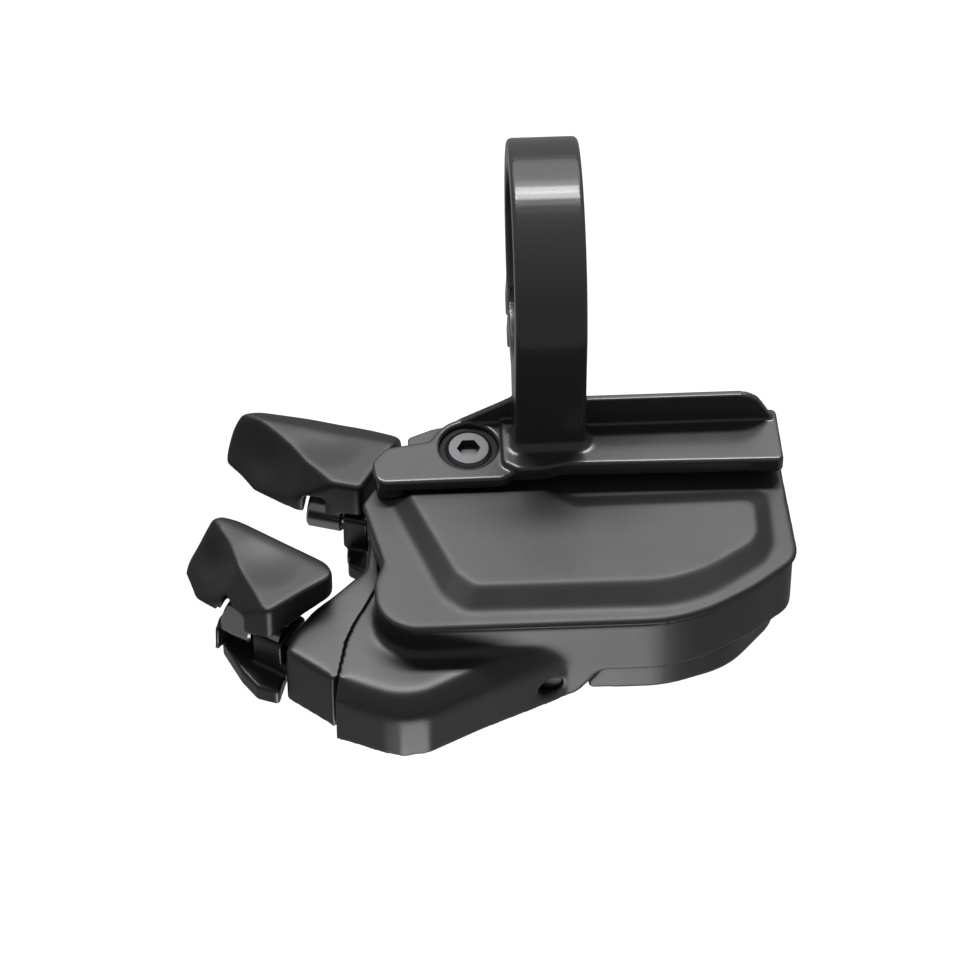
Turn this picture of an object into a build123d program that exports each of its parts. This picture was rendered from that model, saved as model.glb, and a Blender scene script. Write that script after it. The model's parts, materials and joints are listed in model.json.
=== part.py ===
"""Thumb shifter for a flat handlebar: a wireless pod with two thumb paddles, hung from a one-piece band clamp.

The origin is the centre of the handlebar bore.  +X runs along the bar, away from the grip.  +Y points
forward, away from the rider.  +Z is up, square to the top of the bracket plate.  Units are millimetres.
"""
from build123d import *
from math import copysign, cos, degrees, radians, sin, sqrt, tan
import os

# ---------------------------------------------------------------- driving dimensions
BAR_D = 22.2            # handlebar, where it is clamped
BAND_T = 3.1            # band thickness
BAND_W = 8.2            # band width along the bar
SLOT_ANGLE = -68        # where the band is split, measured in the YZ plane from +Y
SLOT_W = 1.6
EAR_T = 2.7
EAR_OUT = 20.4          # how far the clamp ears reach from the bar's centre
PINCH_R = 17.4          # distance of the pinch bolt from the bar's centre
PINCH_D = 3.0

PLATE_TOP = -17.0       # bracket plate, left of the band
PLATE_BOTTOM = -18.5
RAIL_TOP = -16.4        # bracket rail, right of the band
FIN_TOP = -12.1
FIN_FRONT = -11.0
FIN_T = 0.8
RIB_FRONT = -9.6        # low rib behind the mounting bolt
GUSSET_Y = -8.4         # how far the band's gusset reaches forward on the plate
FOOT_FLARE = 1.1        # the band's foot widens into the rail
BAND_EDGE = 0.6
EDGE_FILLET = 0.35

COVER_TOP = -20.0       # lid flange
COVER_T = 0.8
LID_OVERHANG = 0.4
PANEL_TOP = -18.6       # raised middle of the lid
BODY_TOP = COVER_TOP - COVER_T
LOBE_TOP = -25.0
LOBE_CHAMFER = 1.9
SHALLOW_BOTTOM = -29.4  # housing floor above the battery
POD_BOTTOM = -34.0
WALL = 1.3
FLOOR_T = 0.9
CAVITY_TOP = -26.4      # inside of the lobe's roof
FLOOR_TOP = POD_BOTTOM + FLOOR_T

MOUNT_X, MOUNT_Y = -9.4, -13.1      # bolt that holds the pod to the bracket
MOUNT_SEAT = -18.9
MOUNT_BOSS_D = 8.4
CELL_X, CELL_Y = 15.3, -24.0        # coin cells
CELL_D, CELL_T = 16.0, 3.2
BATTERY_SCREWS = [(8.3, -15.3), (22.3, -15.3)]
CASE_SCREWS = [(-10.5, -34.0, POD_BOTTOM), (-2.4, -13.1, POD_BOTTOM), (15.3, -12.8, SHALLOW_BOTTOM)]
BUTTON_X, BUTTON_Z, BUTTON_D = -1.1, -31.1, 2.8

PIN_D = 2.0
BUSH_D = 3.2
ARM_TOP, ARM_BOTTOM = -30.4, -32.7
SLOT_TOP, SLOT_BOTTOM = ARM_TOP + 0.35, ARM_BOTTOM - 0.35
BARREL_R = 2.3
SPIGOT_R = 1.5
RUN = 0.05              # running clearance on a radius
PIN_TOP = -27.6
TAIL = 5.2              # from a pivot to the middle of the arm's tail
SWITCH_Y = -3.6         # from a pivot back to its switch
PINCH_SEAT = SLOT_W / 2 + 1.5
NUT_SEAT = SLOT_W / 2 + 1.2
COVER_BOSS = 2.2        # length of the lid's screw bosses
COVER_BOSS_R = 1.45
CASE_BOSS_R = 1.65
SCREW_HEAD = 0.9
SEAL_T = 0.5
TRAY_R = CELL_D / 2 + 0.75
CELL_BOTTOM = POD_BOTTOM + 1.5
CELL_TOP = CELL_BOTTOM + 2 * CELL_T + 0.05
BOARD_BOTTOM, BOARD_T = -23.8, 1.0

UPPER = dict(
    at=(-26.24, -14.18), turn=16, pivot=(-14.5, -21.5), axis=(0.5, -26.8), top=-19.4, bottom=-25.6,
    barrel=(-1.9, 2.35, 5.2),
    outline=[(-13.3, 3.4, 1.2), (-12.8, 6.6, 1.8), (-9.9, 8.2, 1.8), (-4.2, 8.7, 0), (3.4, 8.7, 0),
             (7.9, 8.3, 1.0), (6.0, 2.6, 1.0), (4.8, -1.6, 0.7), (0.4, -1.7, 0.7), (-3.0, -1.8, 0),
             (-10.1, 0.5, 2.0), (-12.5, 2.0, 1.5)],
    ridge=[(-7.9, 4.7), (0.4, -0.9)], rim=(-9.6, 0.7, -25.6), rear_drop=1.2,
    under=[(6.9, 8.3, -25.0), (4.6, -1.8, -25.2), (-6, 8.0, -25.6)], notch=(-2.05, 0.35, -22.6),
    yoke=(5.0, 5.4, 3.0), yoke_at=(0.8, -28.1),
    ledge=[(3.3, -3.1), (6.2, -3.1), (6.2, 0.0), (2.4, 0.0), (3.0, -1.4)],
    ledge_z=(-32.1, -30.4),
)
LOWER = dict(
    at=(-36.40, -28.78), turn=33, pivot=(-21.0, -37.0), axis=(0.0, -27.6), top=-20.3, bottom=-26.6,
    barrel=(-1.4, 2.65, 6.0),
    outline=[(-8.6, 0.2, 1.2), (-8.7, 2.4, 1.5), (-8.2, 5.0, 1.5), (-6.9, 7.2, 1.5), (-4.8, 7.9, 1.5),
             (7.4, 7.6, 1.8), (9.4, 5.8, 1.8), (7.6, 2.0, 1.5), (5.7, -2.7, 0.7), (2.3, -2.8, 0.7), (-2.6, -1.4, 0),
             (-7.2, -1.1, 1.5)],
    ridge=[(-6.4, 5.2), (2.2, -0.7)], rim=(-5.4, -1.0, -26.4), rear_drop=0.9,
    under=[(9.0, 7.0, -23.9), (5.5, -2.7, -25.4), (-1.0, 7.0, -26.6)], notch=(-1.55, 2.1, -23.4),
    yoke=(5.4, 5.4, 3.8), yoke_at=(0.8, -29.7),
    ledge=[(-1.9, -1.3), (2.4, -3.9), (5.2, -5.0), (7.8, -4.4), (6.2, 1.0), (-1.9, 2.5)],
    ledge_z=(-34.3, -31.9),
)
# the cheek beside the lower barrel's outer end, seen along the barrel
CHEEK = [(-2.4, -28.6), (-1.5, -27.4), (1.5, -27.4), (1.5, -32.1), (-2.7, -32.1)]

LEVERS = {"upper": UPPER, "lower": LOWER}

# outlines seen from above
PLATE = [(-20.3, -18.4, 1.5), (-20.7, -15.0, 1.5), (-19.0, -12.9, 1.5), (-13.9, -12.1, 0.9), (-12.4, -10.0, 0.9),
         (-9.4, -9.2), (-4.0, -9.2), (-4.0, -17.2, 0), (-5.6, -18.3, 1.5)]
LEDGE = [(-16.4, -14.0), (-16.4, -10.9, 0.5), (-13.6, -9.7, 0.5), (-9.4, -8.8), (-9.4, -14.0)]
RAIL = [(-5.6, -8.8), (-5.6, -16.3, 1.0), (-3.8, -17.5, 1.5), (-1.0, -17.4, 1.5), (1.6, -16.9, 2.0), (26.9, -17.3, 0.7),
        (26.5, -9.4, 0.7), (5.6, -9.4), (4.4, -8.8)]
FOOT = [(-20.2, -18.2), (-20.4, -15.4), (-17.0, -15.4), (-17.0, -18.2)]
LID = [(-15.4, -9.6), (-21.0, -17.2, 0.8), (-22.0, -18.9, 1.0), (-19.9, -27.6, 1.5), (-21.0, -30.6, 1.5),
       (-20.9, -37.6, 5.2), (14.6, -37.6, 20.0), (22.6, -33.0, 20.0), (27.8, -28.9, 3.4), (26.4, -9.6, 1.0)]
PANEL_LOW = [(-19.1, -18.35), (-13.4, -33.4, 2.0), (-11.0, -35.5, 2.2), (13.1, -35.8, 14.0), (17.7, -34.3, 14.0),
             (24.0, -29.9, 3.0), (25.2, -27.2, 2.6), (25.1, -19.9, 0.8), (23.8, -18.8, 0.8), (2.9, -19.0, 0.8),
             (1.4, -18.6, 0.8), (0.4, -18.35)]
PANEL_HIGH = [(-16.4, -18.8), (-11.6, -30.2, 1.6), (-9.4, -32.5, 1.6), (11.9, -32.6, 14.0), (17.0, -31.0, 14.0),
              (22.4, -27.4, 1.8), (23.2, -25.8, 1.4), (23.2, -22.0, 0.6), (22.2, -21.2, 0.6), (2.6, -21.3, 0.8),
              (0.6, -20.0, 0.8), (-0.8, -18.8)]
LOBE = [(-15.4, -10.0), (-20.2, -17.2), (-20.2, -26.6), (-21.3, -28.7), (-23.4, -32.7), (-24.3, -34.9),
        (-25.8, -42.1), (-20.4, -44.5), (-18.2, -45.1), (-15.2, -44.7), (-9.3, -41.7), (0.9, -37.2), (4.9, -37.2),
        (4.9, -10.0)]
LOBE_HIGH = [(-15.4, -10.0), (-20.2, -17.2), (-20.2, -26.6), (-21.3, -28.7), (-23.4, -32.7), (-24.3, -34.9),
             (-25.4, -40.1), (-20.2, -42.5), (-18.3, -43.0), (-15.7, -42.7), (-10.3, -39.9), (-0.9, -37.2),
             (4.9, -37.2), (4.9, -10.0)]
RIGHT_PART = [(4.0, -8.0), (4.0, -40.0), (30.0, -40.0), (30.0, -8.0)]
RIGHT_INSIDE = [(5.2, -8.0), (5.2, -40.0), (30.0, -40.0), (30.0, -8.0)]
SIDE = [(-20.3, -17.4), (-21.2, -18.8), (-21.8, -24.2), (-24.9, -27.3), (-28.0, -30.0), (-30.3, -33.1),
        (-31.4, -36.0), (-26.1, -40.3), (-25.4, -39.9), (-24.4, -34.9), (-23.5, -32.7), (-21.4, -28.7),
        (-20.3, -26.6)]
BATTERY = [(5.2, -12.2, 1.0), (5.2, -36.4, 1.3), (12.4, -36.4, 16.0), (19.9, -34.0, 10.0), (25.6, -27.6, 5.0),
           (25.6, -12.2, 1.3)]
UPPER_ARM = [(-23.9, -19.3), (-22.8, -14.9), (-17.6, -17.6), (-11.9, -18.9), (-8.6, -20.4), (-8.6, -22.1),
             (-11.4, -22.3), (-16.6, -24.2)]
LOWER_ARM = [(-32.0, -34.1), (-31.1, -31.2), (-24.0, -33.8), (-18.8, -34.6), (-15.0, -35.8), (-15.0, -37.6),
             (-18.0, -38.0), (-22.0, -39.8), (-28.5, -35.7)]

FIN = [(3.0, PLATE_BOTTOM), (3.0, FIN_TOP), (23.7, FIN_TOP, 3.2), (26.5, -17.4, 1.0), (26.5, PLATE_BOTTOM)]
RIB = [(-3.0, PLATE_BOTTOM), (-3.0, -12.5), (-5.6, -14.2, 1.5), (-10.4, -17.1), (-10.4, PLATE_BOTTOM)]
UPPER_SLOT = [(-25.0, -22.4), (-25.0, -11.5), (-15.4, -11.5), (-9.0, -16.0), (-9.0, -24.5), (-19.0, -26.0)]
LOWER_SLOT = [(-32.6, -34.6), (-30.6, -29.4), (-21.0, -31.0), (-17.0, -34.0), (-17.0, -41.0), (-24.0, -40.8),
              (-24.8, -38.9), (-28.4, -36.4), (-30.3, -35.2)]
SLOPE = [(1.8, POD_BOTTOM, 3.0), (4.8, SHALLOW_BOTTOM, 1.5), (9.0, SHALLOW_BOTTOM), (9.0, POD_BOTTOM - 2),
         (-9.0, POD_BOTTOM - 2), (-9.0, POD_BOTTOM)]
SLOPE_FLOOR = [(-1.5, POD_BOTTOM), (1.8, POD_BOTTOM), (4.8, SHALLOW_BOTTOM), (4.8, SHALLOW_BOTTOM + 1.2),
               (4.2, SHALLOW_BOTTOM + 1.2), (0.6, FLOOR_TOP), (-1.5, FLOOR_TOP)]
COVER_TOE = [(3.4, POD_BOTTOM), (6.0, POD_BOTTOM), (6.0, SHALLOW_BOTTOM), (5.1, SHALLOW_BOTTOM), (3.4, -32.3)]
SIDE_INSIDE = [(-20.3, -17.4), (-20.9, -18.8), (-20.9, -25.0), (-23.8, -27.9), (-26.6, -30.8), (-28.6, -33.6),
               (-29.5, -35.8), (-26.2, -38.6), (-24.9, -38.9), (-24.4, -34.9), (-23.5, -32.7), (-21.4, -28.7),
               (-20.3, -26.6)]

os.makedirs("parts", exist_ok=True)


def save(part, name):
    part.label = name
    export_step(part, f"parts/{name}.step")


def sharp(points):
    """The same points without their corner radii."""
    return [point[:2] for point in points]


def rounded(points, steps=4):
    """The same points, with a row of points along the arc of each corner that has a radius."""
    result = []
    for i, (x, y, *own) in enumerate(points):
        corner = Vector(x, y)
        if not own:
            result.append((x, y))
            continue
        back = (Vector(*points[i - 1][:2]) - corner).normalized()
        ahead = (Vector(*points[(i + 1) % len(points)][:2]) - corner).normalized()
        half = radians(back.get_angle(ahead)) / 2
        centre = corner + (back + ahead).normalized() * (own[0] / sin(half))
        start = corner + back * (own[0] / tan(half)) - centre
        turn = copysign(180 - 2 * degrees(half), ahead.cross(back).Z)
        for step in range(steps + 1):
            point = centre + start.rotate(Axis.Z, turn * step / steps)
            result.append((point.X, point.Y))
    return result


def outline(plane, points, radius=0.0, inset=0.0):
    """A closed face on the plane, inset from its points.  A point's third number is its own corner radius."""
    radii = [point[2] if len(point) > 2 else radius for point in points]
    with BuildSketch(plane) as face:
        with BuildLine():
            if any(radii):
                FilletPolyline(*sharp(points), radius=radii, close=True)
            else:
                Polyline(*points, close=True)
        make_face()
        if inset:
            offset(amount=-inset, kind=Kind.INTERSECTION)
    return face.sketch


def within(plane, points, inset, limits):
    """The part of an inset outline that lies inside a second outline."""
    return outline(plane, points, 0, inset) & outline(plane, limits)


def disc(plane, x, y, radius):
    """A round face on the plane, its centre at x, y."""
    with BuildSketch(plane) as face:
        with Locations((x, y)):
            Circle(radius)
    return face.sketch


def level(z):
    return Plane.XY.offset(z)


def lever_plane(lever, z=0.0):
    """Seen from above: x runs along the paddle's barrel towards the pod and y points forward."""
    turn = radians(lever["turn"])
    x, y = lever["at"]
    return Plane(origin=(x, y, z), x_dir=(cos(turn), -sin(turn), 0), z_dir=(0, 0, 1))


def across(lever, u):
    """The plane square to the barrel at u: its x points forward and its y up."""
    seen_from_above = lever_plane(lever)
    return Plane(origin=seen_from_above.from_local_coords((u, 0, 0)), x_dir=seen_from_above.y_dir,
                 z_dir=seen_from_above.x_dir)


def plane_through(frame, points, down=False):
    """The plane through three points of a frame, facing up, or down."""
    a, b, c = [frame.from_local_coords(Vector(*point)) for point in points]
    normal = (b - a).cross(c - a)
    if (normal.Z < 0) != down:
        normal = -normal
    return Plane(origin=a, z_dir=normal)


# ---------------------------------------------------------------- bracket
bore_r = BAR_D / 2
band_r = bore_r + BAND_T
ear_dir = Vector(0, cos(radians(SLOT_ANGLE)), sin(radians(SLOT_ANGLE)))
ear_up = Vector(0, -sin(radians(SLOT_ANGLE)), cos(radians(SLOT_ANGLE)))
side_view = Plane(origin=(0, 0, 0), x_dir=(0, 1, 0), z_dir=(1, 0, 0))
ear_view = Plane(origin=(0, 0, 0), x_dir=ear_dir, z_dir=(1, 0, 0))
pinch_plane = Plane(origin=ear_dir * PINCH_R, x_dir=(1, 0, 0), z_dir=ear_up)

fin_view = Plane(origin=(0, FIN_FRONT, 0), x_dir=(1, 0, 0), z_dir=(0, -1, 0))
front_view = Plane(origin=(0, -38.2, 0), x_dir=(1, 0, 0), z_dir=(0, -1, 0))

with BuildPart() as clamp_bracket:
    with BuildSketch(side_view):
        Circle(band_r)
        with BuildLine():
            Polyline((-band_r, 0), (-band_r, PLATE_BOTTOM), (GUSSET_Y, PLATE_BOTTOM), (-4.0, -band_r + 0.6), (0, 0),
                     close=True)
        make_face()
        Circle(bore_r, mode=Mode.SUBTRACT)
    extrude(amount=BAND_W / 2, both=True)
    with BuildSketch(ear_view):
        with Locations(((bore_r + 1 + EAR_OUT) / 2, 0)):
            RectangleRounded(EAR_OUT - bore_r - 1, SLOT_W + 2 * EAR_T, 0.9)
    extrude(amount=BAND_W / 2, both=True)
    fillet(clamp_bracket.edges().filter_by(lambda e: e.geom_type == GeomType.CIRCLE and e.radius > bore_r + 1
                                           and e.length > 20), BAND_EDGE)
    with BuildSketch(ear_view):
        with Locations((EAR_OUT / 2 + 6, 0)):
            Rectangle(EAR_OUT, SLOT_W)
    extrude(amount=BAND_W, both=True, mode=Mode.SUBTRACT)
    extrude(outline(level(PLATE_BOTTOM), PLATE, 0.9), amount=PLATE_TOP - PLATE_BOTTOM)
    extrude(outline(level(PLATE_BOTTOM), RAIL, 0.7), amount=RAIL_TOP - PLATE_BOTTOM)
    # soft edges along the rail and round the plate
    at_rail = clamp_bracket.edges().filter_by_position(Axis.Z, RAIL_TOP - 0.01, RAIL_TOP + 0.01)
    fillet(at_rail.filter_by_position(Axis.Y, -18, -16), EDGE_FILLET)
    at_plate = clamp_bracket.edges().filter_by_position(Axis.Z, PLATE_TOP - 0.01, PLATE_TOP + 0.01)
    fillet(at_plate.filter_by_position(Axis.X, -21, -6), EDGE_FILLET)
    # the foot of the band flares out into the rail
    for step in (0, 0.1, 0.3, 0.6, 1):
        flare = FOOT_FLARE * (1 - sqrt(1 - (1 - step) ** 2))
        with BuildSketch(level(RAIL_TOP + FOOT_FLARE * step)):
            with Locations((0, (FIN_FRONT - band_r - flare) / 2)):
                RectangleRounded(BAND_W + 2 * flare, band_r + flare + FIN_FRONT, BAND_EDGE + flare)
    loft(ruled=True)
    extrude(outline(level(COVER_TOP), FOOT, 0.6), amount=PLATE_BOTTOM - COVER_TOP)
    extrude(outline(level(PLATE_BOTTOM), LEDGE), amount=0.7)
    extrude(outline(fin_view, FIN), amount=-FIN_T)
    extrude(outline(fin_view.offset(FIN_FRONT - RIB_FRONT), RIB), amount=-0.8)
    extrude(disc(level(COVER_TOP), MOUNT_X, MOUNT_Y, MOUNT_BOSS_D / 2), amount=PLATE_TOP - COVER_TOP)
    extrude(disc(level(MOUNT_SEAT), MOUNT_X, MOUNT_Y, 3.45), amount=8, mode=Mode.SUBTRACT)
    extrude(disc(level(COVER_TOP), MOUNT_X, MOUNT_Y, 1.65), amount=3, mode=Mode.SUBTRACT)
    # the pinch bolt's hole, its head's seat and its nut's pocket
    extrude(disc(pinch_plane.offset(-6), 0, 0, PINCH_D / 2 + 0.15), amount=12, mode=Mode.SUBTRACT)
    extrude(disc(pinch_plane.offset(PINCH_SEAT), 0, 0, 3.0), amount=3, mode=Mode.SUBTRACT)
    with BuildSketch(pinch_plane.offset(-NUT_SEAT)):
        RegularPolygon(2.75, 6, major_radius=False)
    extrude(amount=-3, mode=Mode.SUBTRACT)
    extrude(disc(side_view, 0, 0, bore_r), amount=BAND_W, both=True, mode=Mode.SUBTRACT)
save(clamp_bracket.part, "clamp_bracket")

with BuildPart() as pinch_bolt:
    extrude(disc(pinch_plane.offset(PINCH_SEAT), 0, 0, 2.7), amount=2.2)
    extrude(disc(pinch_plane.offset(PINCH_SEAT), 0, 0, PINCH_D / 2), amount=-7.6)
    with BuildSketch(pinch_plane.offset(PINCH_SEAT + 2.2)):
        RegularPolygon(1.25, 6, major_radius=False)
    extrude(amount=-1.5, mode=Mode.SUBTRACT)
save(pinch_bolt.part, "pinch_bolt")

with BuildPart() as pinch_nut:
    with BuildSketch(pinch_plane.offset(-NUT_SEAT)):
        RegularPolygon(2.7, 6, major_radius=False)
        Circle(PINCH_D / 2 + RUN, mode=Mode.SUBTRACT)
    extrude(amount=-2.2)
save(pinch_nut.part, "pinch_nut")

with BuildPart() as mounting_bolt:
    extrude(disc(level(MOUNT_SEAT), MOUNT_X, MOUNT_Y, 2.65), amount=1.5)
    chamfer(mounting_bolt.edges().group_by(Axis.Z)[-1], 0.35)
    with BuildSketch(level(MOUNT_SEAT + 1.5)):
        with Locations((MOUNT_X, MOUNT_Y)):
            RegularPolygon(1.2, 6, major_radius=False)
    extrude(amount=-1.1, mode=Mode.SUBTRACT)
    extrude(disc(level(MOUNT_SEAT), MOUNT_X, MOUNT_Y, 1.5), amount=-6.6)
save(mounting_bolt.part, "mounting_bolt")

with BuildPart() as threaded_insert:
    extrude(disc(level(BODY_TOP), MOUNT_X, MOUNT_Y, 2.3), amount=-5.0)
    extrude(disc(level(BODY_TOP), MOUNT_X, MOUNT_Y, 1.5 + RUN), amount=-5.0, mode=Mode.SUBTRACT)
save(threaded_insert.part, "threaded_insert")

# ---------------------------------------------------------------- pod shells
with BuildPart() as top_cover:
    extrude(outline(level(BODY_TOP), LID), amount=COVER_T)
    fillet(top_cover.edges().group_by(Axis.Z)[-1], 0.3)
    loft([outline(level(COVER_TOP - 0.1), rounded(PANEL_LOW)),
          outline(level(PANEL_TOP), rounded(PANEL_HIGH))], ruled=True)
    loft([outline(level(BODY_TOP), sharp(PANEL_LOW), 0, 1.6),
          outline(level(PANEL_TOP - 0.9), sharp(PANEL_HIGH), 0, 0.9)],
         ruled=True, mode=Mode.SUBTRACT)
    for x, y, _ in CASE_SCREWS:
        extrude(disc(level(BODY_TOP + 0.2), x, y, COVER_BOSS_R), amount=-COVER_BOSS - 0.2)
        extrude(disc(level(BODY_TOP - COVER_BOSS), x, y, 0.85), amount=COVER_BOSS + 0.2, mode=Mode.SUBTRACT)
    extrude(disc(level(BODY_TOP), MOUNT_X, MOUNT_Y, 1.8), amount=3, mode=Mode.SUBTRACT)
save(top_cover.part, "top_cover")

with BuildPart() as main_housing:
    extrude(outline(level(POD_BOTTOM), LOBE), amount=LOBE_TOP - LOBE_CHAMFER - POD_BOTTOM)
    loft([outline(level(LOBE_TOP - LOBE_CHAMFER), LOBE), outline(level(LOBE_TOP), LOBE_HIGH)], ruled=True)
    extrude(within(level(SHALLOW_BOTTOM), LID, LID_OVERHANG, RIGHT_PART), amount=LOBE_TOP - SHALLOW_BOTTOM)
    extrude(outline(level(LOBE_TOP), LID, 0, LID_OVERHANG), amount=BODY_TOP - LOBE_TOP)
    # inside
    extrude(outline(level(CAVITY_TOP), LID, 0, LID_OVERHANG + WALL), amount=BODY_TOP - CAVITY_TOP,
            mode=Mode.SUBTRACT)
    extrude(within(level(SHALLOW_BOTTOM + 1.2), LID, LID_OVERHANG + WALL, RIGHT_INSIDE), amount=4,
            mode=Mode.SUBTRACT)
    extrude(outline(level(FLOOR_TOP), LOBE, 0, WALL), amount=CAVITY_TOP - FLOOR_TOP, mode=Mode.SUBTRACT)
    # the floor slopes up to the battery cover
    extrude(outline(front_view.offset(-1.2), SLOPE_FLOOR), amount=-26.4)
    extrude(outline(front_view.offset(5), SLOPE), amount=-40, mode=Mode.SUBTRACT)
    # bosses
    extrude(disc(level(FLOOR_TOP + 5.4), MOUNT_X, MOUNT_Y + 0.4, 3.6), amount=BODY_TOP - FLOOR_TOP - 5.4)
    for x, y, z in CASE_SCREWS:
        extrude(disc(level(z), x, y, CASE_BOSS_R), amount=BODY_TOP - COVER_BOSS - z)
    for x, y in BATTERY_SCREWS:
        extrude(disc(level(SHALLOW_BOTTOM), x, y, 1.8), amount=4)
    # holes: insert, case screws and their heads, battery screws, cells, pivot pins, front button
    extrude(disc(level(BODY_TOP), MOUNT_X, MOUNT_Y, 2.3), amount=-6.8, mode=Mode.SUBTRACT)
    for x, y, z in CASE_SCREWS:
        extrude(disc(level(z), x, y, 0.95), amount=20, mode=Mode.SUBTRACT)
        extrude(disc(level(z), x, y, 1.6), amount=SCREW_HEAD, mode=Mode.SUBTRACT)
    for x, y in BATTERY_SCREWS:
        extrude(disc(level(SHALLOW_BOTTOM), x, y, 0.8), amount=3.2, mode=Mode.SUBTRACT)
    extrude(disc(level(SHALLOW_BOTTOM), CELL_X, CELL_Y, TRAY_R + 0.1), amount=2, mode=Mode.SUBTRACT)
    for lever in LEVERS.values():
        extrude(disc(level(POD_BOTTOM), *lever["pivot"], PIN_D / 2), amount=2, mode=Mode.SUBTRACT)
    extrude(disc(front_view.offset(2), BUTTON_X, BUTTON_Z, BUTTON_D / 2), amount=-6, mode=Mode.SUBTRACT)
    # the way in for the two arms
    for slot in (UPPER_SLOT, LOWER_SLOT):
        extrude(outline(level(SLOT_BOTTOM), slot), amount=SLOT_TOP - SLOT_BOTTOM, mode=Mode.SUBTRACT)
save(main_housing.part, "main_housing")

with BuildPart() as side_shell:
    extrude(outline(level(POD_BOTTOM), SIDE, 0.3), amount=LOBE_TOP - POD_BOTTOM)
    extrude(outline(level(FLOOR_TOP), SIDE_INSIDE), amount=CAVITY_TOP - FLOOR_TOP, mode=Mode.SUBTRACT)
    for slot in (UPPER_SLOT, LOWER_SLOT):
        extrude(outline(level(SLOT_BOTTOM), slot), amount=SLOT_TOP - SLOT_BOTTOM, mode=Mode.SUBTRACT)
save(side_shell.part, "side_shell")

seal_ring = (outline(level(SHALLOW_BOTTOM - SEAL_T), BATTERY, 0, 0.3)
             - outline(level(SHALLOW_BOTTOM - SEAL_T), BATTERY, 0, 1.1))

with BuildPart() as battery_cover:
    extrude(outline(level(POD_BOTTOM), BATTERY), amount=SHALLOW_BOTTOM - POD_BOTTOM)
    extrude(outline(front_view.offset(-1.9), COVER_TOE), amount=-22)
    fillet(battery_cover.edges().group_by(Axis.Z)[0], 0.8)
    extrude(outline(level(POD_BOTTOM + 1.0), BATTERY, 0, 1.2), amount=5, mode=Mode.SUBTRACT)
    for x, y in BATTERY_SCREWS:
        extrude(disc(level(POD_BOTTOM + 0.5), x, y, 1.75), amount=SHALLOW_BOTTOM - POD_BOTTOM - 0.5)
        extrude(disc(level(POD_BOTTOM), x, y, 0.95), amount=6, mode=Mode.SUBTRACT)
        extrude(disc(level(POD_BOTTOM), x, y, 1.6), amount=SCREW_HEAD + 0.4, mode=Mode.SUBTRACT)
    extrude(seal_ring, amount=SEAL_T, mode=Mode.SUBTRACT)
save(battery_cover.part, "battery_cover")

with BuildPart() as cover_seal:
    extrude(seal_ring, amount=SEAL_T)
save(cover_seal.part, "cover_seal")

with BuildPart() as battery_screws:
    for x, y in BATTERY_SCREWS:
        extrude(disc(level(POD_BOTTOM + 0.4), x, y, 1.5), amount=SCREW_HEAD)
        extrude(disc(level(POD_BOTTOM + 0.4 + SCREW_HEAD), x, y, 0.75), amount=6.0)
        with BuildSketch(level(POD_BOTTOM + 0.4)):
            with Locations((x, y)):
                RegularPolygon(0.65, 6, major_radius=False)
        extrude(amount=0.6, mode=Mode.SUBTRACT)
save(battery_screws.part, "battery_screws")

with BuildPart() as case_screws:
    for x, y, z in CASE_SCREWS:
        extrude(disc(level(z + 0.1), x, y, 1.5), amount=SCREW_HEAD - 0.1)
        extrude(disc(level(z + SCREW_HEAD), x, y, 0.8), amount=BODY_TOP - 0.3 - z - SCREW_HEAD)
        with BuildSketch(level(z + 0.1)):
            with Locations((x, y)):
                RegularPolygon(0.65, 6, major_radius=False)
        extrude(amount=0.5, mode=Mode.SUBTRACT)
save(case_screws.part, "case_screws")

# ---------------------------------------------------------------- battery and electronics
with BuildPart() as battery_tray:
    extrude(disc(level(CELL_BOTTOM + 1.0), CELL_X, CELL_Y, TRAY_R), amount=CELL_TOP + 0.3 + 0.8 - CELL_BOTTOM - 1.0)
    extrude(disc(level(SHALLOW_BOTTOM + 1.2), CELL_X, CELL_Y, TRAY_R + 0.6), amount=0.8)
    extrude(disc(level(CELL_BOTTOM), CELL_X, CELL_Y, CELL_D / 2 + 0.15), amount=CELL_TOP + 0.3 - CELL_BOTTOM,
            mode=Mode.SUBTRACT)
    extrude(disc(level(CELL_TOP), CELL_X, CELL_Y, 4.2), amount=3, mode=Mode.SUBTRACT)
save(battery_tray.part, "battery_tray")

with BuildPart() as coin_cells:
    for floor in (CELL_BOTTOM, CELL_BOTTOM + CELL_T + 0.05):
        extrude(disc(level(floor), CELL_X, CELL_Y, CELL_D / 2), amount=CELL_T)
        fillet(coin_cells.edges().group_by(Axis.Z)[-1], 0.3)
save(coin_cells.part, "coin_cells")

with BuildPart() as battery_contacts:
    extrude(disc(level(CELL_TOP + 0.03), CELL_X, CELL_Y, 3.9), amount=0.2)
    extrude(disc(level(CELL_TOP + 0.2), CELL_X + 2.0, CELL_Y, 0.5), amount=BOARD_BOTTOM - CELL_TOP - 0.2)
    extrude(disc(level(POD_BOTTOM + 1.0), CELL_X, CELL_Y, 6.5), amount=0.2)
    extrude(disc(level(POD_BOTTOM + 1.0), CELL_X, CELL_Y, 3.0), amount=CELL_BOTTOM - POD_BOTTOM - 1.03)
save(battery_contacts.part, "battery_contacts")

with BuildPart() as circuit_board:
    extrude(outline(level(BOARD_BOTTOM), LID, 0, 2.0), amount=BOARD_T)
    extrude(disc(level(BOARD_BOTTOM), MOUNT_X, MOUNT_Y, 4.6), amount=BOARD_T, mode=Mode.SUBTRACT)
    for x, y, _ in CASE_SCREWS:
        extrude(disc(level(BOARD_BOTTOM), x, y, 2.2), amount=BOARD_T, mode=Mode.SUBTRACT)
save(circuit_board.part, "circuit_board")

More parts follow.
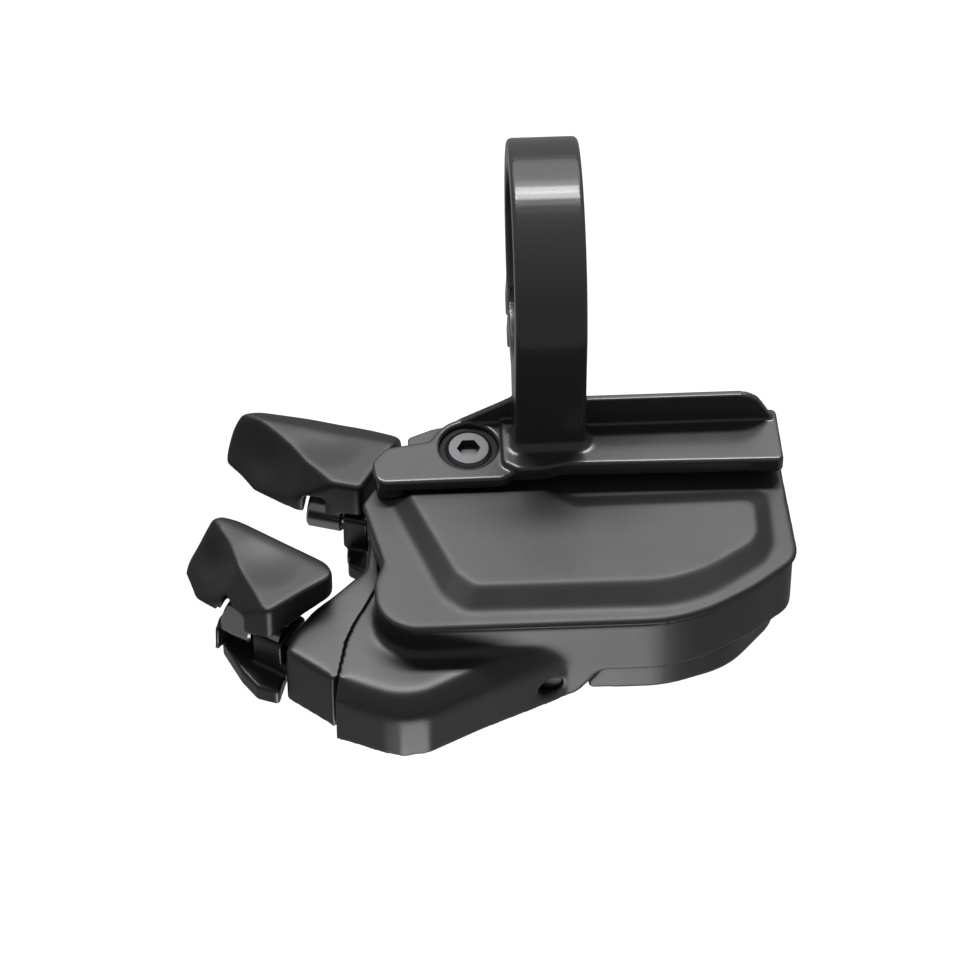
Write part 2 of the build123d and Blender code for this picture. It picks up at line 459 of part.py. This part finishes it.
with BuildPart() as radio_shield:
    with BuildSketch(level(BOARD_BOTTOM + BOARD_T)):
        with Locations((13.0, -27.0)):
            RectangleRounded(13.0, 8.0, 0.5)
    extrude(amount=1.6)
    fillet(radio_shield.edges().group_by(Axis.Z)[-1], 0.25)
save(radio_shield.part, "radio_shield")

with BuildPart() as controller_chip:
    with BuildSketch(level(BOARD_BOTTOM + BOARD_T)):
        with Locations((-2.0, -26.0)):
            Rectangle(5.0, 5.0)
    extrude(amount=0.9)
save(controller_chip.part, "controller_chip")

with BuildPart() as tactile_switches:
    for lever in LEVERS.values():
        x, y = lever["pivot"]
        with BuildSketch(level(FLOOR_TOP)):
            with Locations((x + TAIL - 0.6, y + SWITCH_Y)):
                Rectangle(3.4, 2.4)
        extrude(amount=2.9)
        plunger = Plane(origin=(x + TAIL - 0.6, y + SWITCH_Y + 1.2, FLOOR_TOP + 1.6), x_dir=(1, 0, 0),
                        z_dir=(0, 1, 0))
        extrude(disc(plunger, 0, 0, 0.55), amount=0.9)
    with BuildSketch(level(FLOOR_TOP)):
        with Locations((BUTTON_X - 1.1, -31.0)):
            Rectangle(3.4, 2.0)
    extrude(amount=3.4)
save(tactile_switches.part, "tactile_switches")

with BuildPart() as pairing_button:
    extrude(disc(front_view.offset(-1.3), BUTTON_X, BUTTON_Z, BUTTON_D / 2 - RUN), amount=-3.8)
save(pairing_button.part, "pairing_button")

# ---------------------------------------------------------------- levers
for name, lever in LEVERS.items():
    x, y = lever["pivot"]
    v, z = lever["axis"]
    left, shoulder, right = lever["barrel"]
    yoke_depth, yoke_height, yoke_length = lever["yoke"]
    above = lever_plane(lever)
    arm_outline = UPPER_ARM if name == "upper" else LOWER_ARM

    with BuildPart() as pivot_pin:
        extrude(disc(level(POD_BOTTOM + 0.1), x, y, PIN_D / 2), amount=PIN_TOP - POD_BOTTOM - 0.1)
        extrude(disc(level(PIN_TOP - 0.6), x, y, 1.8), amount=0.6)
    save(pivot_pin.part, f"{name}_pivot_pin")

    with BuildPart() as pivot_bush:
        extrude(disc(level(ARM_BOTTOM - 0.15), x, y, BUSH_D / 2), amount=ARM_TOP - ARM_BOTTOM + 0.3)
        extrude(disc(level(ARM_BOTTOM - 0.15), x, y, PIN_D / 2 + RUN), amount=4, mode=Mode.SUBTRACT)
    save(pivot_bush.part, f"{name}_pivot_bush")

    with BuildPart() as return_spring:
        with BuildLine(Plane.XY.offset(ARM_TOP + 0.45).move(Location((x, y, 0)))) as coil:
            Helix(pitch=0.55, height=1.1, radius=1.75)
        with BuildSketch(Plane(origin=coil.line @ 0, z_dir=coil.line % 0)):
            Circle(0.2)
        sweep(path=coil.line, is_frenet=True)
    save(return_spring.part, f"{name}_return_spring")

    with BuildPart() as arm:
        extrude(outline(level(ARM_BOTTOM), arm_outline, 0.6), amount=ARM_TOP - ARM_BOTTOM)
        extrude(disc(level(ARM_BOTTOM), x, y, 3.1), amount=ARM_TOP - ARM_BOTTOM)
        # the yoke that holds the barrel, and the ledge in front of it
        with BuildSketch(across(lever, shoulder + 0.15)):
            with Locations(lever["yoke_at"]):
                RectangleRounded(yoke_depth, yoke_height, 0.5)
        extrude(amount=yoke_length)
        extrude(outline(lever_plane(lever, lever["ledge_z"][0]), lever["ledge"], 0.3),
                amount=lever["ledge_z"][1] - lever["ledge_z"][0])
        if name == "lower":
            extrude(outline(across(lever, left - 0.65), CHEEK, 0.4), amount=0.5)
        extrude(disc(across(lever, shoulder), v, z, SPIGOT_R), amount=right - shoulder + 0.1, mode=Mode.SUBTRACT)
        extrude(disc(level(ARM_BOTTOM - 1), x, y, BUSH_D / 2), amount=5, mode=Mode.SUBTRACT)
    save(arm.part, f"{name}_arm")

    with BuildPart() as barrel:
        extrude(disc(across(lever, left), v, z, BARREL_R), amount=shoulder - left)
        chamfer(barrel.edges(), 0.25)
        extrude(disc(across(lever, left), v, z, SPIGOT_R), amount=right - left)
        extrude(disc(across(lever, left), v, z, 0.9), amount=right - left - 0.6, mode=Mode.SUBTRACT)
    save(barrel.part, f"{name}_barrel")

    with BuildPart() as paddle:
        height = lever["top"] - lever["bottom"]
        extrude(outline(lever_plane(lever, lever["bottom"]), lever["outline"], 0.5), amount=height)
        # the thumb's face, sloped from the ridge down to the outer edge
        thumb_face = [(*point, lever["top"]) for point in lever["ridge"]] + [lever["rim"]]
        split(bisect_by=plane_through(above, thumb_face), keep=Keep.BOTTOM)
        # the rear edge rolls down, and the underside rises towards the pod
        rear_face = [(0, 6.0, lever["top"]), (5, 6.0, lever["top"]), (0, 8.7, lever["top"] - lever["rear_drop"])]
        split(bisect_by=plane_through(above, rear_face), keep=Keep.BOTTOM)
        split(bisect_by=plane_through(above, lever["under"], down=True), keep=Keep.BOTTOM)
        # the saddle that wraps the barrel from behind
        with BuildSketch(across(lever, left + 0.1)):
            with Locations((v + 2.4, z + 0.4)):
                RectangleRounded(4.4, 7.0, 0.8)
        extrude(amount=shoulder - left - 0.2)
        extrude(disc(across(lever, left - 1.0), v, z, BARREL_R + RUN), amount=shoulder - left + 1.0,
                mode=Mode.SUBTRACT)
        # room over the yoke
        with BuildSketch(across(lever, shoulder - 0.1)):
            with Locations((lever["yoke_at"][0], lever["yoke_at"][1] - 1.8)):
                Rectangle(yoke_depth + 1.2, yoke_height + 5.0)
        extrude(amount=6, mode=Mode.SUBTRACT)
        # the notch that shows the barrel's end
        notch_left, notch_right, notch_top = lever["notch"]
        with BuildSketch(across(lever, notch_left)):
            with Locations((v - 3.0, notch_top - 4.0)):
                RectangleRounded(6.0, 8.0, 0.6)
        extrude(amount=notch_right - notch_left, mode=Mode.SUBTRACT)
    save(paddle.part, f"{name}_paddle")
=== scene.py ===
"""The looks of the thumb shifter: moulded pieces, materials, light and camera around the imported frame."""

import json
from math import cos, radians, sin

import bpy
import numpy as np
from mathutils import Matrix, Vector

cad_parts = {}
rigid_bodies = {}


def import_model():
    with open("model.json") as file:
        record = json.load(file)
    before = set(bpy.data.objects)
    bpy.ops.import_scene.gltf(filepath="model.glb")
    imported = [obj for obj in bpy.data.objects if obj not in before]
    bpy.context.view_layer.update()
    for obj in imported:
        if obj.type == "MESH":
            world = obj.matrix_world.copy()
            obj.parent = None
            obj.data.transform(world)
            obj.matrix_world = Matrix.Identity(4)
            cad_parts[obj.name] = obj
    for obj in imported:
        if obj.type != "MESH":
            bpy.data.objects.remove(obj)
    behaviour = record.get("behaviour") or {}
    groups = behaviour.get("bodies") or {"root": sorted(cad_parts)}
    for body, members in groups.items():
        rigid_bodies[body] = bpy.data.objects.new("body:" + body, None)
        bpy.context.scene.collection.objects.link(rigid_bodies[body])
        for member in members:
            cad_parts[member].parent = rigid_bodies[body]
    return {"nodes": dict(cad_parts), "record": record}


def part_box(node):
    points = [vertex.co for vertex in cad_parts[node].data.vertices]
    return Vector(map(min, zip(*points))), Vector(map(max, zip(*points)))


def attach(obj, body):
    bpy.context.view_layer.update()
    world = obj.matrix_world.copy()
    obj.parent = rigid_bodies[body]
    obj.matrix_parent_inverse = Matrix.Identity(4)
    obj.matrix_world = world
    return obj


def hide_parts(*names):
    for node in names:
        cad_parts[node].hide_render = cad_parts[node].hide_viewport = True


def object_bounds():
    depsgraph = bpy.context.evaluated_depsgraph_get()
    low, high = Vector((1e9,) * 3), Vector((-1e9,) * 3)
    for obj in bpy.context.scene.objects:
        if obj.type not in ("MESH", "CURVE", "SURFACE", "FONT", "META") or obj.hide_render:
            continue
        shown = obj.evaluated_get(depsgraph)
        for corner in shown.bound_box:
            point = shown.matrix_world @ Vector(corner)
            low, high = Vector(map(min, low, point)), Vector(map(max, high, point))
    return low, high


MM = 0.001

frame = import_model()
cad_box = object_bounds()
low, high = Vector(cad_box[0]), Vector(cad_box[1])
centre = (low + high) / 2
SLOT_OF = {part["node"]: part["material_slot"] for part in frame["record"]["subparts"]}
BODY_OF = {node: body for body, nodes in frame["record"]["behaviour"]["bodies"].items() for node in nodes}


def add_object(name, data):
    thing = bpy.data.objects.new(name, data)
    bpy.context.scene.collection.objects.link(thing)
    return thing


# ---------------------------------------------------------------- camera, floor and light
def aim(thing, target):
    thing.rotation_euler = (target - thing.location).to_track_quat("-Z", "Y").to_euler()


def add_camera(target, yaw, elevation, distance, lens):
    data = bpy.data.cameras.new("camera")
    data.lens = lens
    data.sensor_width = 36
    data.clip_start = 0.01
    camera = add_object("camera", data)
    yaw, elevation = radians(yaw), radians(elevation)
    back = Vector((-sin(yaw) * cos(elevation), -cos(yaw) * cos(elevation), sin(elevation)))
    camera.location = target + back * distance
    aim(camera, target)
    bpy.context.scene.camera = camera


def around(distance, azimuth, elevation):
    """A place round the part: azimuth 0 is in front of it, where the rider sits, and 180 behind it."""
    azimuth, elevation = radians(azimuth), radians(elevation)
    outwards = Vector((sin(azimuth) * cos(elevation), -cos(azimuth) * cos(elevation), sin(elevation)))
    return centre + distance * outwards


def add_light(name, place, size, power):
    data = bpy.data.lights.new(name, "AREA")
    data.shape = "RECTANGLE"
    data.size, data.size_y = size
    data.energy = power
    light = add_object(name, data)
    light.location = place
    aim(light, centre)
    return light


def add_floor(height, half_width):
    """A plain pale floor, which the part's own surfaces don't mirror and aren't lit by."""
    corners = [(x * half_width, y * half_width, height) for x, y in ((-1, -1), (1, -1), (1, 1), (-1, 1))]
    mesh = bpy.data.meshes.new("floor")
    mesh.from_pydata(corners, [], [(0, 1, 2, 3)])
    paint = bpy.data.materials.new("floor")
    paint.use_nodes = True
    shader = paint.node_tree.nodes["Principled BSDF"]
    shader.inputs["Base Color"].default_value = (0.92, 0.92, 0.92, 1)
    shader.inputs["Roughness"].default_value = 0.9
    shader.inputs["Emission Color"].default_value = (1, 1, 1, 1)
    shader.inputs["Emission Strength"].default_value = 0.15
    mesh.materials.append(paint)
    floor = add_object("floor", mesh)
    floor.visible_diffuse = False
    floor.visible_glossy = False


def add_world(strength):
    world = bpy.data.worlds.new("studio")
    world.use_nodes = True
    background = world.node_tree.nodes["Background"]
    background.inputs["Color"].default_value = (1, 1, 1, 1)
    background.inputs["Strength"].default_value = strength
    bpy.context.scene.world = world


CAMERA_TARGET = Vector((-8.34, -18.98, -16.22)) * MM
FLOOR_DROP = 0.2            # from the part's lowest point
add_camera(CAMERA_TARGET, yaw=2.5, elevation=50, distance=0.6, lens=195.75)
add_floor(low.z - FLOOR_DROP, half_width=4)
add_light("back_panel", around(distance=0.65, azimuth=180, elevation=44), size=(0.95, 0.42), power=2.3)
add_light("top_strip", around(distance=0.6, azimuth=180, elevation=66), size=(0.5, 0.07), power=3.4)
low_card = add_light("low_card", around(distance=0.2, azimuth=0, elevation=-50), size=(0.1, 0.1), power=0.12)
add_world(strength=0.28)
bpy.context.scene.view_settings.view_transform = "Standard"


# ---------------------------------------------------------------- materials
CLOUD_SCALE, CLOUD_DETAIL = 120, 6      # the noise that mottles the colour and the gloss
CLOUD_RANGE = 0.3, 0.7                  # the part of the noise's range that is spread over the whole effect
MOTTLING = 0.06                         # of the colour, up and down
GLOSS_SPREAD = 0.08                     # of the roughness, up and down
GRAIN_SCALE, GRAIN_DETAIL = 5400, 3
GRAIN_HEIGHT = 0.05 * MM


def material(name, colour, roughness, metallic=0.0, grain=0.0, specular=0.5):
    """A moulded or anodised surface: slightly uneven colour and gloss, with a fine grain in its bump."""
    m = bpy.data.materials.new(name)
    m.use_nodes = True
    nodes, links = m.node_tree.nodes, m.node_tree.links
    shader = nodes["Principled BSDF"]
    shader.inputs["Metallic"].default_value = metallic
    shader.inputs["Specular IOR Level"].default_value = specular
    place = nodes.new("ShaderNodeTexCoord")
    cloud = nodes.new("ShaderNodeTexNoise")
    cloud.inputs["Scale"].default_value = CLOUD_SCALE
    cloud.inputs["Detail"].default_value = CLOUD_DETAIL
    links.new(place.outputs["Object"], cloud.inputs["Vector"])
    tint = nodes.new("ShaderNodeValToRGB")
    for stop, position, factor in zip(tint.color_ramp.elements, CLOUD_RANGE, (1 - MOTTLING, 1 + MOTTLING)):
        stop.position = position
        stop.color = [c * factor for c in colour] + [1]
    links.new(cloud.outputs["Fac"], tint.inputs["Fac"])
    links.new(tint.outputs["Color"], shader.inputs["Base Color"])
    gloss = nodes.new("ShaderNodeMapRange")
    gloss.inputs["From Min"].default_value, gloss.inputs["From Max"].default_value = CLOUD_RANGE
    gloss.inputs["To Min"].default_value = roughness * (1 - GLOSS_SPREAD)
    gloss.inputs["To Max"].default_value = roughness * (1 + GLOSS_SPREAD)
    links.new(cloud.outputs["Fac"], gloss.inputs["Value"])
    links.new(gloss.outputs["Result"], shader.inputs["Roughness"])
    if grain:
        speckle = nodes.new("ShaderNodeTexNoise")
        speckle.inputs["Scale"].default_value = GRAIN_SCALE
        speckle.inputs["Detail"].default_value = GRAIN_DETAIL
        links.new(place.outputs["Object"], speckle.inputs["Vector"])
        bump = nodes.new("ShaderNodeBump")
        bump.inputs["Strength"].default_value = grain
        bump.inputs["Distance"].default_value = GRAIN_HEIGHT
        links.new(speckle.outputs["Fac"], bump.inputs["Height"])
        links.new(bump.outputs["Normal"], shader.inputs["Normal"])
    return m


FINISHES = {
    "bracket_metal": material("anodised", (0.03, 0.03, 0.0315), 0.24, grain=0.05, specular=0.6),
    "bolt_steel": material("dark_steel", (0.1, 0.1, 0.105), 0.3, metallic=0.9, grain=0.03),
    "barrel_steel": material("ground_steel", (0.3, 0.3, 0.31), 0.24, metallic=1.0, grain=0.03),
    "brass": material("brass", (0.72, 0.55, 0.28), 0.3, metallic=1.0),
    "lid_plastic": material("lid", (0.017, 0.017, 0.0185), 0.44, grain=0.15),
    "body_plastic": material("body", (0.017, 0.017, 0.0185), 0.36, grain=0.15),
    "paddle_plastic": material("paddle", (0.018, 0.018, 0.019), 0.38, grain=0.2, specular=0.36),
    "arm_metal": material("arm", (0.015, 0.015, 0.016), 0.3, grain=0.05),
    "rubber": material("rubber", (0.02, 0.02, 0.02), 0.8),
    "cell_metal": material("cell", (0.7, 0.7, 0.7), 0.3, metallic=1.0),
    "board": material("board", (0.02, 0.14, 0.06), 0.35),
    "shield_metal": material("shield", (0.7, 0.71, 0.72), 0.35, metallic=1.0),
    "chip": material("chip", (0.015, 0.015, 0.015), 0.5),
    "switch": material("switch", (0.04, 0.04, 0.04), 0.4),
    "tray_plastic": material("tray", (0.18, 0.18, 0.18), 0.55),
}


# ---------------------------------------------------------------- moulded pieces, worked out in millimetres
STEP = 0.5                  # of the way to its neighbours' mean that a point moves in one pass
DISH_REACH = 2.4            # below a hollow's middle, where pressing ends
DISH_FADE = 1.4             # the height over which it starts


def baked(thing):
    """The mesh of an object with its modifiers applied."""
    view = bpy.context.evaluated_depsgraph_get()
    return bpy.data.meshes.new_from_object(thing.evaluated_get(view))


def relax(points, edges, passes, weight):
    """Moves each point towards the mean of its neighbours, by its own weight, so that sharp edges round off."""
    a, b = edges[:, 0], edges[:, 1]
    count = np.maximum(np.bincount(edges.ravel(), minlength=len(points)), 1)
    for _ in range(passes):
        for axis in range(3):
            total = np.bincount(a, points[b, axis], len(points)) + np.bincount(b, points[a, axis], len(points))
            points[:, axis] += STEP * weight * (total / count - points[:, axis])


def press(points, middle, direction, radius, depth):
    """Presses a shallow round hollow into the face at middle, against direction."""
    offset = points - middle
    height = offset @ direction
    across = np.linalg.norm(offset - height[:, None] * direction, axis=1)
    share = np.clip(1 - (across / radius) ** 2, 0, 1) ** 2 * ramp(height, -DISH_REACH, DISH_FADE)
    points -= depth * share[:, None] * direction


def moulded(node, voxel, rounding, dishes=(), keep=1.0):
    """A piece with the CAD node's shape and the soft edges of a moulding, which replaces the node.

    rounding is a list of (passes, where), where being a function that gives each point's weight from its place.
    dishes are the hollows to press.  keep is the share of the faces left after decimation.
    """
    source = frame["nodes"][node]
    mesh = source.data.copy()
    mesh.transform(Matrix.Scale(1 / MM, 4) @ source.matrix_world)
    thing = add_object(node + "_moulded", mesh)
    remesh = thing.modifiers.new("remesh", "REMESH")
    remesh.mode = "VOXEL"
    remesh.voxel_size = voxel
    mesh = baked(thing)
    thing.modifiers.clear()
    points = np.empty(3 * len(mesh.vertices))
    mesh.vertices.foreach_get("co", points)
    points = points.reshape(-1, 3)
    edges = np.empty(2 * len(mesh.edges), dtype=np.int64)
    mesh.edges.foreach_get("vertices", edges)
    edges = edges.reshape(-1, 2)
    for passes, where in rounding:
        relax(points, edges, passes, where(points))
    for hollow in dishes:
        press(points, *hollow)
    mesh.vertices.foreach_set("co", points.ravel())
    thing.data = mesh
    if keep < 1:
        fewer = thing.modifiers.new("fewer", "DECIMATE")
        fewer.ratio = keep
        mesh = baked(thing)
        thing.modifiers.clear()
        thing.data = mesh
    mesh.transform(Matrix.Scale(MM, 4))
    mesh.shade_smooth()
    mesh.materials.clear()
    mesh.materials.append(FINISHES[SLOT_OF[node]])
    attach(thing, BODY_OF[node])
    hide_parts(node)
    return thing


# where a piece is rounded: each of these gives a weight from 0 to 1 for each point
def ramp(values, start, length, least=0.0):
    """Climbs from least to 1 as the values go from start to start + length."""
    return np.clip((values - start) / length, least, 1)


def everywhere(points):
    return np.ones(len(points))


# the parting line between the housing and the side shell, seen from above
SEAM = [(-20.25, -17.4), (-20.25, -26.6), (-21.35, -28.7), (-23.45, -32.7), (-24.35, -34.9), (-25.6, -41.0),
        (-25.8, -42.3)]
SEAM_CRISP, SEAM_FADE, SEAM_LEAST = 0.5, 0.8, 0.04


def off_the_seam(points):
    """Everywhere but along the seam, which stays crisp."""
    seam = np.array(SEAM)
    nearest = np.full(len(points), np.inf)
    for a, b in zip(seam[:-1], seam[1:]):
        along = np.clip(((points[:, :2] - a) @ (b - a)) / ((b - a) @ (b - a)), 0, 1)
        away = np.linalg.norm(points[:, :2] - a - along[:, None] * (b - a), axis=1)
        nearest = np.minimum(nearest, away)
    return ramp(nearest, SEAM_CRISP, SEAM_FADE, SEAM_LEAST)


def lobe_shoulder(points):
    """The edge round the top of the housing's lobe, and the wall that rises from it to the lid."""
    x, y, z = points.T
    return ramp(z, -29.0, 1.5) * ramp(-z, 21.8, 1.0) * ramp(-x, -4, 2) * ramp(-y, 28, 3) * off_the_seam(points)


def shell_top(points):
    return ramp(points[:, 2], -28.0, 1.5) * off_the_seam(points)


def lid_panel(points):
    """The raised panel on the lid and its sloping sides, but not the strip under the bracket."""
    x, y, z = points.T
    return ramp(z, -20.25, 0.2) * ramp(-y, 18.9, 0.6)


# the two levers seen from above: where they stand, how far they are turned, where their edges roll off, and the
# hollows for the thumb as (middle along, across and up, the direction pressed against, radius, depth)
LEVERS = {
    "upper": {"at": (-26.24, -14.18), "turn": 16, "end": -9.0, "rear": 6.0,
              "dishes": [((-9.0, 3.4, -22.0), (-0.46, -0.68, 0.57), 4.4, 0.7),
                         ((-6.0, 1.6, -22.0), (-0.46, -0.68, 0.57), 4.4, 0.7),
                         ((-0.5, 4.6, -19.6), (0.0, 0.0, 1.0), 4.5, 0.35)]},
    "lower": {"at": (-36.40, -28.78), "turn": 33, "end": -5.8, "rear": 6.2,
              "dishes": [((-6.2, 3.1, -22.5), (-0.45, -0.66, 0.6), 4.0, 0.6),
                         ((-4.2, 1.6, -22.5), (-0.45, -0.66, 0.6), 4.0, 0.7),
                         ((1.5, 3.6, -20.4), (0.0, 0.0, 1.0), 4.5, 0.3)]},
}
END_FADE, REAR_FADE = 2, 1.5


def dish(lever, middle, direction, radius, depth):
    """A hollow given along a lever's own axes, turned into the frame's."""
    turn = radians(lever["turn"])
    rotation = np.array([[cos(turn), sin(turn), 0], [-sin(turn), cos(turn), 0], [0, 0, 1]])
    middle = rotation @ np.array(middle) + np.array([*lever["at"], 0])
    direction = rotation @ np.array(direction)
    return middle, direction / np.linalg.norm(direction), radius, depth


def rolled_edges(lever):
    """The outer end and the rear of a paddle, which are rounder than the rest."""
    turn = radians(lever["turn"])

    def weight(points):
        x, y = points[:, 0] - lever["at"][0], points[:, 1] - lever["at"][1]
        along, across = x * cos(turn) - y * sin(turn), x * sin(turn) + y * cos(turn)
        return np.maximum(ramp(-along, -lever["end"], END_FADE), ramp(across, lever["rear"], REAR_FADE))
    return weight


bracket = moulded("clamp_bracket", 0.15, [(3, everywhere)], keep=0.3)
moulded("main_housing", 0.25, [(8, off_the_seam), (36, lobe_shoulder)], keep=0.3)
moulded("side_shell", 0.2, [(8, off_the_seam), (30, shell_top)], keep=0.4)
moulded("battery_cover", 0.25, [(8, everywhere)], keep=0.4)
moulded("top_cover", 0.2, [(3, everywhere), (14, lid_panel)], keep=0.4)
for name, lever in LEVERS.items():
    thumb_faces = [dish(lever, *hollow) for hollow in lever["dishes"]]
    moulded(name + "_paddle", 0.16, [(25, everywhere), (90, rolled_edges(lever))], thumb_faces, keep=0.5)
    moulded(name + "_arm", 0.16, [(8, everywhere)], keep=0.5)


# ---------------------------------------------------------------- painted shade: a black ring round the bolt's head
# its section as (distance from the bolt's axis, height from the top of the bolt's head), in millimetres
PAINTED_SHADE_RING = [(2.68, -1.5), (3.42, -1.5), (3.42, -0.45), (3.34, -0.32), (3.2, -0.27), (2.9, -0.27), (2.76, -0.32),
          (2.68, -0.45)]
PAINTED_SHADE_RING_SIDES = 72


def add_painted_shade_ring(bolt, slot):
    """A black ring of painted shade, which fills the gap between a bolt's head and its recess where shadow
    falls.
    """
    bolt_low, bolt_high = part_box(bolt)
    x, y = (bolt_low[0] + bolt_high[0]) / 2, (bolt_low[1] + bolt_high[1]) / 2
    angles = [radians(360 * side / PAINTED_SHADE_RING_SIDES) for side in range(PAINTED_SHADE_RING_SIDES)]
    points = [(x + r * MM * cos(angle), y + r * MM * sin(angle), bolt_high[2] + z * MM)
              for angle in angles for r, z in PAINTED_SHADE_RING]
    n = len(PAINTED_SHADE_RING)
    faces = []
    for side in range(PAINTED_SHADE_RING_SIDES):
        here, there = side * n, (side + 1) % PAINTED_SHADE_RING_SIDES * n
        faces += [(here + j, there + j, there + (j + 1) % n, here + (j + 1) % n) for j in range(n)]
    mesh = bpy.data.meshes.new("bolt_painted_shade")
    mesh.from_pydata(points, [], faces)
    mesh.update()
    mesh.shade_smooth()
    mesh.materials.append(FINISHES[slot])
    painted_shade = add_object("bolt_painted_shade", mesh)
    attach(painted_shade, BODY_OF[bolt])


# a black ring of painted shade, in the rubber finish, darkens the gap round the mounting bolt's head
add_painted_shade_ring("mounting_bolt", "rubber")

for node, thing in frame["nodes"].items():
    for slot in thing.material_slots:
        slot.material = FINISHES[SLOT_OF[node]]

# the card below lights everything but the bracket, whose band would mirror it
lit_from_below = bpy.data.collections.new("lit_from_below")
for thing in bpy.context.scene.objects:
    if thing.type == "MESH" and thing is not bracket:
        lit_from_below.objects.link(thing)
low_card.light_linking.receiver_collection = lit_from_below
